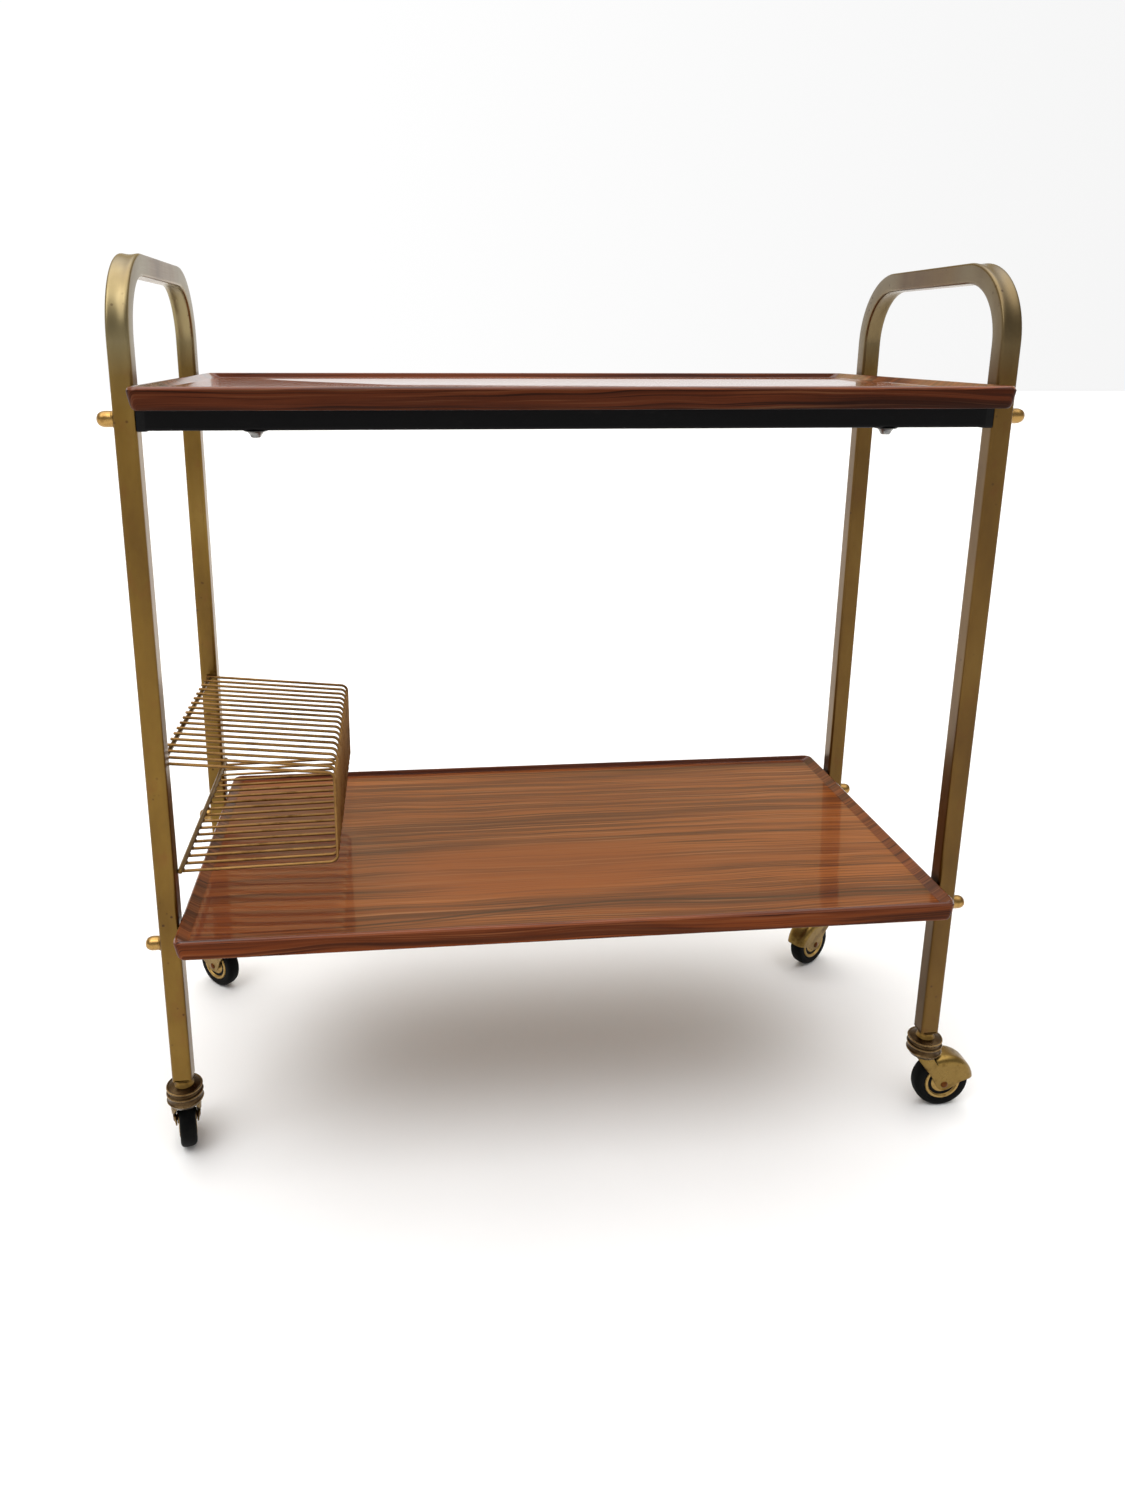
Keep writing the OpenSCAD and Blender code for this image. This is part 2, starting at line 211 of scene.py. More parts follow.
def give_uv(obj, name, place):
    """A UV map: place(vertex index) gives its two numbers."""
    layer = obj.data.uv_layers.new(name=name)
    for poly in obj.data.polygons:
        for loop in poly.loop_indices:
            layer.data[loop].uv = place(obj.data.loops[loop].vertex_index)


# ---------------------------------------------------------------- material helpers
class Nodes:
    """A short way to write a node tree."""

    def __init__(self, tree):
        self.tree = tree

    def add(self, kind, inputs=None, **settings):
        node = self.tree.nodes.new("ShaderNode" + kind)
        for key, value in settings.items():
            setattr(node, key, value)
        for key, value in (inputs or {}).items():
            self.put(node.inputs[key], value)
        return node

    def put(self, socket, value):
        if isinstance(value, bpy.types.NodeSocket):
            self.tree.links.new(value, socket)
        elif isinstance(value, bpy.types.Node):
            self.tree.links.new(value.outputs[0], socket)
        else:
            socket.default_value = value

    def math(self, operation, *values):
        node = self.add("Math", operation=operation)
        for socket, value in zip(node.inputs, values):
            self.put(socket, value)
        return node.outputs[0]

    def mapped(self, source, scale, offset=(0, 0, 0)):
        return self.add("Mapping", {"Vector": source, "Scale": scale, "Location": offset}).outputs[0]

    def noise(self, vector, detail=4.0, rough=0.55):
        return self.add("TexNoise", {"Vector": vector, "Scale": 1.0, "Detail": detail,
                                     "Roughness": rough}).outputs["Fac"]

    def ramp(self, value, stops, interpolation="LINEAR"):
        node = self.add("ValToRGB", {"Fac": value})
        node.color_ramp.interpolation = interpolation
        fill_ramp(node, stops)
        return node.outputs["Color"]

    def range(self, value, low, high, out_low=0.0, out_high=1.0):
        return self.add("MapRange", {"Value": value, "From Min": low, "From Max": high,
                                     "To Min": out_low, "To Max": out_high}).outputs[0]

    def mix(self, factor, a, b):
        """Colour a where the factor is 0 and colour b where it is 1."""
        node = self.add("Mix", data_type="RGBA")
        self.put(node.inputs[0], factor)
        self.put(node.inputs[6], a)
        self.put(node.inputs[7], b)
        return node.outputs[2]

    def bump(self, height, strength, distance):
        node = self.add("Bump", {"Height": height, "Strength": strength, "Distance": distance})
        return node.outputs[0]


class Surface(Nodes):
    """A new material and its shader."""

    def __init__(self, name):
        self.material = bpy.data.materials.new(name)
        self.material.use_nodes = True
        super().__init__(self.material.node_tree)
        self.shader = self.tree.nodes["Principled BSDF"]

    def set(self, **values):
        """Inputs of the shader, with _ for the spaces in their names."""
        for key, value in values.items():
            self.put(self.shader.inputs[key.replace("_", " ")], value)


def fill_ramp(node, stops):
    """The stops of a colour ramp, as (position, colour) pairs."""
    elements = node.color_ramp.elements
    while len(elements) < len(stops):
        elements.new(0.5)
    for element, (at, colour) in zip(elements, stops):
        element.position = at
        element.color = colour


def grey(v):
    """A linear grey with alpha."""
    return (v, v, v, 1)


def linear(red, green, blue):
    """A linear colour with alpha from 0 to 255 screen values."""
    def one(c):
        c /= 255
        return c / 12.92 if c <= 0.04045 else ((c + 0.055) / 1.055) ** 2.4
    return (one(red), one(green), one(blue), 1)


# ---------------------------------------------------------------- materials
# how far the lower tray's veneer is taken from the upper tray's on the same sheet, in metres
BOTTOM_GRAIN = 0.41
# how the dark heart line wanders across the grain along the lower tray, as tenths of a metre
HEART_PATH = [(0.0, grey(0.02)), (0.3, grey(0.10)), (0.5, grey(0.30)), (0.68, grey(0.27)),
              (1.0, grey(0.16))]


def satin_brass():
    """Anodised tube: fine lines along it, cloudy patina and small brown specks, with a painted highlight
    on the bends and painted shade towards the right.
    """
    n = Surface("satin_brass")
    uv = n.add("UVMap", uv_map="along").outputs[0]
    place = n.add("TexCoord").outputs["Object"]
    lines = n.noise(n.mapped(uv, (1400, 26, 1)), detail=3)
    cloud = n.noise(n.mapped(place, (16, 16, 7)), detail=5, rough=0.6)
    blotch = n.noise(n.mapped(place, (70, 70, 45), (3, 1, 2)), detail=3)
    base = n.ramp(cloud, [(0.30, linear(92, 66, 20)), (0.52, linear(112, 84, 30)),
                          (0.75, linear(126, 99, 44))])
    base = n.mix(n.range(blotch, 0.56, 0.74, 0, 0.38), base, linear(108, 66, 28))
    speck = n.add("TexVoronoi", {"Vector": n.mapped(place, (150, 150, 150)), "Scale": 1.0,
                                 "Randomness": 1.0}).outputs["Distance"]
    rare = n.noise(n.mapped(place, (34, 34, 34), (9, 4, 7)), detail=2)
    dots = n.math("MULTIPLY", n.range(speck, 0.20, 0.10), n.range(rare, 0.55, 0.66))
    # painted highlight: the bends are painted paler, standing for the bright highlight they catch
    bend = n.add("SeparateXYZ", {"Vector": n.add("UVMap", uv_map="bend").outputs[0]}).outputs["X"]
    painted_bend_highlight = n.math("MULTIPLY", bend, n.range(cloud, 0.3, 0.7, 0.45, 0.8))
    base = n.mix(painted_bend_highlight, base, linear(140, 129, 96))
    # painted shade: the tube is painted darker towards the right, as shade from light falling from the
    # left
    across = n.add("SeparateXYZ", {"Vector": place}).outputs["X"]
    base = n.mix(n.range(across, -0.1, 0.25, 0.0, 0.75), base, n.mix(0.62, base, linear(62, 36, 10)))
    base = n.mix(n.math("MULTIPLY", dots, 0.75), base, linear(58, 34, 16))
    rough = n.math("ADD", n.range(cloud, 0.3, 0.7, 0.36, 0.28), n.range(lines, 0.2, 0.8, -0.03, 0.05))
    rough = n.math("ADD", rough, n.math("MULTIPLY", dots, 0.25))
    height = n.math("ADD", n.math("MULTIPLY", lines, 0.6), n.math("MULTIPLY", cloud, 2.5))
    n.set(Base_Color=base, Metallic=1.0, Roughness=rough, Coat_Weight=0.25, Coat_Roughness=0.2,
          Coat_IOR=1.5, Normal=n.bump(height, 0.25, 0.00012))
    return n.material


def polished_brass(name, tone, rough_low, rough_high, tarnish=0.5, grain=95, under=0.0):
    """Plated sheet and wire: bright, with brown tarnish in clouds and fine spots.

    grain is how fine the clouds are, and the last argument is how much painted shade darkens the
    undersides.
    """
    n = Surface(name)
    coords = n.add("TexCoord")
    place = coords.outputs["Object"]
    cloud = n.noise(n.mapped(place, (grain, grain, grain)), detail=5, rough=0.65)
    fine = n.noise(n.mapped(place, (900, 900, 900), (5, 5, 5)), detail=2)
    dark = tuple(c * k for c, k in zip(tone[:3], (0.42, 0.34, 0.25)))
    base = n.ramp(cloud, [(0.28, (*dark, 1)), (0.50, tone), (0.8, tone)])
    base = n.mix(n.range(fine, 0.58, 0.72, 0, tarnish), base, (*dark, 1))
    if under:
        # painted shade: the faces that look down are painted darker, as shade
        painted_shade_normal_z = n.add("SeparateXYZ", {"Vector": coords.outputs["Normal"]}).outputs["Z"]
        base = n.mix(n.range(painted_shade_normal_z, 0.15, -0.5, 0, under), base, (*[c * 0.5 for c in dark], 1))
    rough = n.math("ADD", n.range(cloud, 0.3, 0.65, rough_high, rough_low),
                   n.range(fine, 0.3, 0.7, -0.02, 0.04))
    n.set(Base_Color=base, Metallic=1.0, Roughness=rough,
          Normal=n.bump(n.math("ADD", cloud, n.math("MULTIPLY", fine, 0.15)), 0.2, 0.00025))
    return n.material


def veneer(name, light, mid, dark, streak, offset, gloss=0.06, coat=0.9, heart=0.0, spark=0.1,
           base_gloss=0.12):
    """Varnished straight-grained rosewood; the UV map is in metres with the grain along U.

    The colours go from light bands to dark streaks, and offset picks another piece of the same wood.
    gloss is the varnish's roughness and coat its weight; heart is the V of the heart line, 0 for none.
    """
    n = Surface(name)
    uv = n.add("UVMap", uv_map="veneer").outputs[0]
    drift = n.noise(n.mapped(uv, (2.6, 7, 1), offset), detail=3, rough=0.5)
    split = n.add("SeparateXYZ", {"Vector": uv})
    along = split.outputs["X"]
    across = n.math("ADD", split.outputs["Y"], n.range(drift, 0.0, 1.0, -0.02, 0.02))

    def grain(stretch, fineness, seed, detail, rough):
        at = n.add("CombineXYZ", {"X": n.math("MULTIPLY", along, stretch),
                                  "Y": n.math("MULTIPLY", across, fineness), "Z": offset[2] + seed})
        return n.noise(at.outputs[0], detail=detail, rough=rough)

    # broad bands first, then finer and finer lines over them
    bands = grain(1.3, 30.0, 0.0, 5, 0.62)
    lines = grain(2.2, 190.0, 0.5, 3, 0.6)
    threads = grain(5.0, 480.0, 1.5, 2, 0.6)
    pores = grain(60.0, 1700.0, 2.5, 2, 0.5)
    base = n.ramp(bands, [(0.28, dark), (0.44, mid), (0.58, light), (0.74, mid)])
    base = n.mix(n.range(lines, 0.50, 0.62, 0, 0.7), base, dark)
    base = n.mix(n.range(threads, 0.54, 0.66, 0, 0.75), base, streak)
    base = n.mix(n.range(threads, 0.44, 0.28, 0, 0.6), base, n.mix(spark, light, (0.70, 0.42, 0.2, 1)))
    dusk = grain(1.0, 15.0, 4.0, 3, 0.5)
    base = n.mix(n.range(dusk, 0.57, 0.70, 0, 0.32), base, streak)
    veins = grain(1.4, 88.0, 6.0, 2, 0.5)
    base = n.mix(n.range(veins, 0.55, 0.61, 0, 0.4), base, dark)
    base = n.mix(n.range(veins, 0.60, 0.64, 0, 0.35), base, streak)
    if heart:
        # one dark wandering line with a thin twin beside it, in a darker halo
        path = n.ramp(n.range(along, -0.32, 0.32), HEART_PATH, "B_SPLINE")
        off = n.math("SUBTRACT", across, n.math("ADD", n.math("MULTIPLY", path, 0.1), heart))
        near = n.math("ABSOLUTE", off)
        core = n.math("MULTIPLY", n.range(near, 0.0022, 0.0006), 0.85)
        twin = n.range(n.math("ABSOLUTE", n.math("ADD", off, 0.0055)), 0.0016, 0.0004)
        halo = n.math("MULTIPLY", n.range(near, 0.014, 0.001), n.range(bands, 0.35, 0.6, 0.2, 0.6))
        base = n.mix(halo, base, dark)
        base = n.mix(core, base, streak)
        base = n.mix(n.math("MULTIPLY", twin, 0.6), base, streak)
        # a warm patch in front of the line
        warm_at = n.mapped(uv, (5.2, 15, 1), (0.12, -15 * (heart + 0.09), 0))
        warm = n.add("TexGradient", {"Vector": warm_at}, gradient_type="SPHERICAL").outputs["Fac"]
        warm = n.math("MULTIPLY", n.range(warm, 0.1, 0.5), n.range(bands, 0.3, 0.6, 0.35, 0.9))
        base = n.mix(warm, base, linear(152, 76, 24))
        # painted shade: the lower tray's wood under the rack is painted darker and redder, where the
        # rack keeps the light off the varnish
        lower = n.range(split.outputs["Y"], BOTTOM_GRAIN - 0.2, BOTTOM_GRAIN - 0.18)
        painted_rack_shade = n.math("MULTIPLY", n.range(along, -0.186, -0.196, 0.0, 0.6), lower)
        base = n.mix(painted_rack_shade, base, n.mix(0.5, base, linear(104, 34, 10)))
    smear = n.noise(n.mapped(uv, (11, 14, 1), (2, 7, 1)), detail=4)
    n.set(Base_Color=base, Roughness=n.range(pores, 0.4, 0.8, 0.36, 0.5), Specular_IOR_Level=base_gloss,
          Coat_Weight=coat, Coat_Roughness=gloss, Coat_IOR=1.38, Coat_Normal=n.bump(smear, 0.15, 0.0012),
          Normal=n.bump(n.math("MULTIPLY", pores, -1.0), 0.12, 0.0002))
    return n.material


def black_paint():
    """Satin black lacquer on the rails, with dust and a few rubbed spots."""
    n = Surface("black_paint")
    place = n.add("TexCoord").outputs["Object"]
    dust = n.noise(n.mapped(place, (30, 60, 60)), detail=6, rough=0.7)
    peel = n.noise(n.mapped(place, (420, 420, 420)), detail=2)
    base = n.ramp(dust, [(0.35, linear(5, 5, 6)), (0.62, linear(8, 8, 9)),
                         (0.80, linear(24, 23, 22))])
    n.set(Base_Color=base, Specular_IOR_Level=0.08, Roughness=n.range(dust, 0.3, 0.7, 0.30, 0.48),
          Normal=n.bump(peel, 0.15, 0.0002))
    return n.material


def moulded_black():
    """Black plastic of the rail end plugs."""
    n = Surface("moulded_black")
    place = n.add("TexCoord").outputs["Object"]
    grain = n.noise(n.mapped(place, (700, 700, 700)), detail=3)
    base = n.ramp(grain, [(0.35, linear(6, 6, 7)), (0.70, linear(13, 13, 13))])
    n.set(Base_Color=base, Specular_IOR_Level=0.12, Roughness=n.range(grain, 0.3, 0.7, 0.40, 0.55),
          Normal=n.bump(grain, 0.2, 0.00015))
    return n.material


def bright_steel(name="bright_steel", light=205, dark=120):
    """Zinc plate with a faint fine bump and dull patches."""
    n = Surface(name)
    place = n.add("TexCoord").outputs["Object"]
    cloud = n.noise(n.mapped(place, (160, 160, 160)), detail=4)
    fine = n.noise(n.mapped(place, (1300, 1300, 1300)), detail=2)
    base = n.ramp(cloud, [(0.3, linear(dark, dark, dark + 4)), (0.65, linear(light, light, light - 4))])
    n.set(Base_Color=base, Metallic=1.0, Roughness=n.range(cloud, 0.3, 0.7, 0.42, 0.24),
          Normal=n.bump(fine, 0.15, 0.0001))
    return n.material


def rubber():
    """Black tyre with fine wear round the tread and grey dust."""
    n = Surface("rubber")
    place = n.add("TexCoord").outputs["Object"]
    dust = n.noise(n.mapped(place, (110, 110, 110)), detail=5, rough=0.7)
    fine = n.noise(n.mapped(place, (1500, 1500, 1500)), detail=2)
    base = n.ramp(dust, [(0.35, linear(6, 6, 6)), (0.6, linear(12, 12, 11)), (0.8, linear(28, 27, 24))])
    n.set(Base_Color=base, Specular_IOR_Level=0.05, Roughness=n.range(dust, 0.3, 0.7, 0.46, 0.66),
          Normal=n.bump(n.math("ADD", dust, n.math("MULTIPLY", fine, 0.4)), 0.2, 0.0003))
    return n.material


BRASS_TUBE = satin_brass()
BRASS_WIRE = polished_brass("brass_wire", linear(154, 117, 69), 0.42, 0.54, 0.15, 30, 0.9)
BRASS_ROD = polished_brass("brass_rod", linear(118, 92, 50), 0.30, 0.42, 0.3, 60, 0.7)
BRASS_SHEET = polished_brass("brass_sheet", linear(130, 105, 56), 0.26, 0.40, 0.35)
# painted highlight: a paler brass for the lips of the swivel cups and rings
BRASS_LIP_HIGHLIGHT = polished_brass("brass_lip_painted_highlight", linear(138, 112, 74), 0.2, 0.34, 0.3)
BRASS_FOOT = polished_brass("brass_foot", linear(122, 95, 48), 0.3, 0.42, 0.3)
BRASS_NUT = polished_brass("brass_nut", linear(162, 128, 74), 0.22, 0.36, 0.35)
BRASS_HUB = polished_brass("brass_hub", linear(168, 138, 82), 0.34, 0.48, 0.3)
BRONZE = polished_brass("bronze_cap", linear(78, 61, 40), 0.24, 0.40, 0.5)
RIVET = polished_brass("rivet_brown", linear(96, 56, 26), 0.36, 0.5, 0.3)
VENEER_TOP = veneer("veneer_floor", linear(158, 86, 35), linear(130, 65, 24), linear(92, 43, 17),
                    linear(58, 26, 12), (0.31, 0.17, 2.0), heart=BOTTOM_GRAIN - 0.152, spark=0.3)
VENEER_WALL = veneer("veneer_wall", linear(132, 68, 32), linear(104, 50, 23), linear(72, 31, 15),
                     linear(42, 17, 9), (0.31, 0.17, 2.0), gloss=0.12)
VENEER_EDGE = {
    "top": veneer("veneer_edge_top", linear(86, 40, 18), linear(60, 26, 11), linear(38, 15, 6),
                  linear(22, 8, 3), (1.7, 0.9, 5.0), gloss=0.14, coat=0.05, base_gloss=0.05),
    "bottom": veneer("veneer_edge_bottom", linear(122, 60, 24), linear(86, 39, 14), linear(50, 21, 8),
                     linear(28, 11, 4), (0.6, 2.3, 8.0), gloss=0.14, coat=0.05, base_gloss=0.05)}
BLACK = black_paint()
PLUG_BLACK = moulded_black()
STEEL = bright_steel()
BOLT_STEEL = bright_steel("bolt_steel", 150, 84)
WASHER_STEEL = bright_steel("washer_steel", 84, 40)
TYRE = rubber()


# ---------------------------------------------------------------- hoops
def hoop_stations():
    """Centre line of a hoop in the YZ plane, with outward direction, length and bend strength."""
    top = HOOP_TOP - TUBE / 2
    bend_z = top - BEND_R
    bend_y = LEG_Y - BEND_R
    quarter = BEND_R * math.pi / 2
    leg = bend_z - LEG_END
    bar = 2 * bend_y
    fade = 32 * MM
    bend_steps = 24
    leg_steps = [0, 0.3, 0.55, 0.75, 0.86, 0.92, 0.96]
    out = []
    for t in leg_steps:
        out.append(((-LEG_Y, LEG_END + t * leg), (-1, 0), t * leg))
    for k in range(bend_steps + 1):
        a = math.pi - k / bend_steps * math.pi / 2
        d = (math.cos(a), math.sin(a))
        s = leg + quarter * k / bend_steps
        out.append(((-bend_y + BEND_R * d[0], bend_z + BEND_R * d[1]), d, s))
    for t in (0.04, 0.1, 0.2, 0.35, 0.5, 0.65, 0.8, 0.9, 0.96):
        out.append(((-bend_y + t * bar, top), (0, 1), leg + quarter + t * bar))
    for k in range(bend_steps + 1):
        a = math.pi / 2 - k / bend_steps * math.pi / 2
        d = (math.cos(a), math.sin(a))
        s = leg + quarter + bar + quarter * k / bend_steps
        out.append(((bend_y + BEND_R * d[0], bend_z + BEND_R * d[1]), d, s))
    for t in reversed(leg_steps):
        out.append(((LEG_Y, LEG_END + t * leg), (1, 0), 2 * (leg + quarter) + bar - t * leg))
    bends = [leg + quarter / 2, leg + quarter + bar + quarter / 2]

    def strength(s):
        """1 in a bend, fading to 0 along the straight tube."""
        gap = min(abs(s - b) for b in bends) - quarter / 2
        return smooth(1 - gap / fade)

    return [(p, d, s, strength(s)) for p, d, s in out]


def square_section(strength):
    """Outline of the tube: (outward, along X); a bend sinks its outer and inner faces."""
    h = TUBE / 2
    r = EDGE_R
    flat = h - r
    flat_steps, corner_steps = 8, 5
    sunk = {"out": 0.7 * MM, "in": 0.6 * MM, "side": -0.2 * MM}
    points = []
    for k, face in enumerate(("out", "side", "in", "side")):
        turn = Matrix.Rotation(-k * math.pi / 2, 2)
        for i in range(flat_steps + 1):
            t = -1 + 2 * i / flat_steps
            valley = (1 - t * t) ** 1.5 * sunk[face] * strength
            points.append(turn @ Vector((h - valley, -flat * t)))
        for i in range(1, corner_steps):
            a = -i / corner_steps * math.pi / 2
            points.append(turn @ Vector((flat + r * math.cos(a), -flat + r * math.sin(a))))
    return points


def build_hoop(side):
    """One bent hoop as a swept square tube, with maps of its length and of its bends."""
    x = middle("hoop_" + side).x
    verts, marks = [], []
    stations = hoop_stations()
    for (y, z), (dy, dz), s, strength in stations:
        section = square_section(strength)
        around = 0.0
        for i, (u, v) in enumerate(section):
            verts.append((x + v, y + u * dy, z + u * dz))
            marks.append((around, s))
            nxt = section[(i + 1) % len(section)]
            around += math.hypot(nxt[0] - u, nxt[1] - v)
    cols = len(section)
    faces = capped_faces(len(stations), cols)
    hoop = mesh_object("hoop_tube_" + side, verts, faces, BRASS_TUBE, "frame",
                       ["hoop_" + side], "satin_brass", sharp=50)
    give_uv(hoop, "along", lambda v: marks[v])
    give_uv(hoop, "bend", lambda v: (stations[v // cols][3], 0.0))


# ---------------------------------------------------------------- trays
def tray_ring(half_x, half_y, corner, z, steps=8, straights=(26, 14)):
    """Points round a rounded rectangle, with the outward direction of each."""
    out = []
    centres = [(1, 1), (-1, 1), (-1, -1), (1, -1)]
    for q, (sx, sy) in enumerate(centres):
        cx, cy = sx * (half_x - corner), sy * (half_y - corner)
        for k in range(steps + 1):
            a = (q + k / steps) * math.pi / 2
            d = Vector((math.cos(a), math.sin(a), 0))
            out.append((Vector((cx, cy, z)) + d * corner, d))
        count = straights[q % 2]
        nx, ny = centres[(q + 1) % 4]
        end = Vector((nx * (half_x - corner), ny * (half_y - corner), z))
        d = Vector((math.cos((q + 1) * math.pi / 2), math.sin((q + 1) * math.pi / 2), 0))
        start = out[-1][0]
        for k in range(1, count):
            out.append((start.lerp(end + d * corner, k / count), d))
    return out


def build_tray(level):
    """A moulded tray: rounded rim, sloping inner wall and flat floor in one skin of veneer."""
    node = "tray_" + level
    low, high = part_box(node)
    centre = middle(node)
    half_x, half_y = (high[0] - low[0]) / 2, (high[1] - low[1]) / 2
    # (inset at the ends, inset at the sides, height below the rim's top, corner radius)
    outside = [(60, 60, 16, 4), (6.2, 2.0, 16, 4.5), (4.9, 1.1, 15.85, 5), (3.9, 0.5, 15.3, 5.5),
               (2.9, 0.15, 14.2, 6), (2.0, 0.0, 12.2, 6.4), (1.2, 0.0, 9, 6.8), (0.4, 0.0, 5.5, 7),
               (0.05, 0.0, 3.0, 7)]
    rim = [(0.1, 0.1, 2.2, 8), (0.4, 0.4, 1.3, 7.8), (0.95, 0.95, 0.55, 7.4), (1.6, 1.6, 0.12, 7),
           (2.1, 2.2, 0.0, 6.4)]
    inside = [(2.6, 2.75, 0.12, 5.8), (3.2, 3.05, 0.5, 5.4), (5.2, 3.25, 1.75, 5),
              (7.6, 3.45, 3.2, 4.6), (9.1, 3.65, 4.1, 4.4), (9.7, 3.95, 4.42, 4.2), (10.6, 4.6, 4.5, 4)]
    rings = outside + rim + inside
    verts, marks = [], []
    end, side, _, corner = rings[-1]
    edge = tray_ring(half_x - end * MM, half_y - side * MM, corner * MM, 0)
    # the veneer's map runs up the walls and over the rim, so each ring needs its way from the floor
    lengths = [(0.0, 0.0)]
    for a, b in zip(reversed(rings[:-1]), reversed(rings[1:])):
        rise = a[2] - b[2]
        lengths.append((lengths[-1][0] + math.hypot(a[0] - b[0], rise) * MM,
                        lengths[-1][1] + math.hypot(a[1] - b[1], rise) * MM))
    lengths.reverse()
    for (end, side, drop, corner), (far_x, far_y) in zip(rings, lengths):
        ring = tray_ring(half_x - end * MM, half_y - side * MM, corner * MM, high[2] - drop * MM)
        for (p, _), (q, e) in zip(ring, edge):
            verts.append(p + Vector((centre.x, centre.y, 0)))
            marks.append((q.x + e.x * far_x, q.y + e.y * far_y))
    cols = len(edge)
    tray = mesh_object(node + "_veneer", verts, capped_faces(len(rings), cols), VENEER_TOP, "frame",
                       [node], "walnut", sharp=60)
    tray.data.materials.append(VENEER_EDGE[level])
    tray.data.materials.append(VENEER_WALL)
    outer_faces = len(outside) * cols
    underside = (len(rings) - 1) * cols
    for poly in tray.data.polygons:
        if poly.index < outer_faces or poly.index == underside:
            poly.material_index = 1
        elif poly.index < underside:
            poly.material_index = 2
    shift = {"top": 0.0, "bottom": BOTTOM_GRAIN}[level]
    give_uv(tray, "veneer", lambda v: (marks[v][0], marks[v][1] + shift))


# ---------------------------------------------------------------- wire rack
def build_rack():
    """Bent wires with small welds at both rods."""
    low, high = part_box("rack_wires")
    wire_r = 1.25 * MM
    trim = 0.4 * MM
    rod_up = middle("rack_upper_rod")
    rod_low = middle("rack_lower_rod")
    rod_r = span("rack_upper_rod").x / 2
    count = 18
    pitch = (high[1] - low[1] - 2 * wire_r) / (count - 1)
    right = high[0] - wire_r
    left_up = low[0]
    upper_z = rod_up.z + rod_r + wire_r
    fall = math.tan(math.radians(5.64))
    rise = math.tan(math.radians(1.15))
    lower_z = rod_low.z - rod_r - wire_r
    left_low = rod_low.x - rod_r
    outline = [(left_up + trim, upper_z), (right, upper_z - (right - left_up) * fall),
               (right, lower_z + (right - left_low) * rise), (left_low + trim, lower_z)]
    path = rounded_path(outline, 6 * MM, 8)
    bead = lathe(scaled([(0.05, -2.0), (1.1, -1.6), (1.7, -0.6), (1.75, 0.4), (1.2, 1.5), (0.05, 2.0)]),
                 12, "y")
    wires, welds = [], []
    for i in range(count):
        y = low[1] + wire_r + i * pitch
        wires.append(tube([Vector((px, y, pz)) for px, pz in path], wire_r))
        for rod, down in ((rod_up, rod_up.z + rod_r), (rod_low, rod_low.z - rod_r)):
            welds.append(moved(bead, Matrix.Translation((rod.x + 0.5 * MM, y + 0.3 * MM, down))))
    mesh_object("rack_bent_wires", *joined(wires), BRASS_WIRE, "frame", ["rack_wires"], "bright_brass")
    mesh_object("rack_welds", *joined(welds), BRASS_ROD, "frame", (), "bright_brass")
    for name in ("rack_upper_rod", "rack_lower_rod"):
        centre = middle(name)
        half = Vector((0, span(name).y / 2 - rod_r * 0.4, 0))
        mesh_object(name + "_bar", *tube([centre - half, centre + half], rod_r, 20), BRASS_ROD, "frame",
                    [name], "bright_brass")


# ---------------------------------------------------------------- castors
def castor(corner):
    """Local frame of a castor, how far its axle trails the stem, and the axle's height.

    The frame starts on the floor under the stem, with x towards the wheel and y along the axle.
    """
    swivel = Vector(JOINTS["swivel_" + corner]["pos_m"])
    axle = Vector(JOINTS["roll_" + corner]["pos_m"])
    way = axle - swivel
    turn = Matrix.Rotation(math.atan2(way.y, way.x), 4, "Z")
    return Matrix.Translation((swivel.x, swivel.y, 0)) @ turn, way.xy.length, axle.z


def build_plug(corner):
    """Chamfered square foot of the leg with the round neck under it."""
    leg = JOINTS["swivel_" + corner]["pos_m"]
    # (cut off each side of the tube, corner radius, depth below the end of the tube)
    steps = 6
    rings = []
    for cut, corner_r, drop in ((0, 2.2, -1.5), (0, 2.2, -0.4), (0.3, 2.2, 0.1), (1.9, 3.2, 1.9),
                                (1.9, 4.6, 2.6), (1.2, 6.0, 4.2), (0.3, 7.7, 5.9), (-0.1, 8.1, 6.5),
                                (0.2, 7.8, 6.9), (1.6, 6.4, 7.0)):
        half = TUBE / 2 - cut * MM
        r = min(corner_r * MM, half)
        ring = []
        for q, (sx, sy) in enumerate([(1, 1), (-1, 1), (-1, -1), (1, -1)]):
            for k in range(steps + 1):
                a = (q + k / steps) * math.pi / 2
                ring.append(Vector((leg[0] + sx * (half - r) + r * math.cos(a),
                                    leg[1] + sy * (half - r) + r * math.sin(a), LEG_END - drop * MM)))
        rings.append(ring)
    verts = [p for ring in rings for p in ring]
    mesh_object("leg_foot_" + corner, verts, capped_faces(len(rings), len(rings[0])), BRASS_FOOT,
                "frame", ["plug_" + corner], "satin_brass")


def build_cap(corner):
    """Fixed upper cup of the swivel, with a rolled lip."""
    leg = JOINTS["swivel_" + corner]["pos_m"]
    profile = scaled([(4.2, 67.5), (13.3, 67.5), (13.6, 67.9), (14.2, 68.1), (14.7, 68.6), (14.85, 69.2),
                      (14.6, 69.8), (14.1, 70.0), (13.6, 69.9), (13.0, 69.7), (11.0, 70.3), (9.0, 70.8),
                      (7.0, 71.2), (4.2, 71.2)])
    part = moved(lathe(profile), Matrix.Translation((leg[0], leg[1], 0)))
    cup = mesh_object("swivel_cup_" + corner, *part, BRONZE, "frame", ["cap_" + corner], "bright_brass")
    painted_highlight_rings(cup, [(68.5, 70.0)], 13.9 * MM, Vector((leg[0], leg[1])))


def painted_highlight_rings(obj, bands, radius, centre):
    """Painted highlight on the lips of a turned piece: outside a radius, between heights in millimetres.
    """
    obj.data.materials.append(BRASS_LIP_HIGHLIGHT)
    for poly in obj.data.polygons:
        height = poly.center.z / MM
        if any(low < height < high for low, high in bands) and (poly.center.xy - centre).length > radius:
            poly.material_index = 1


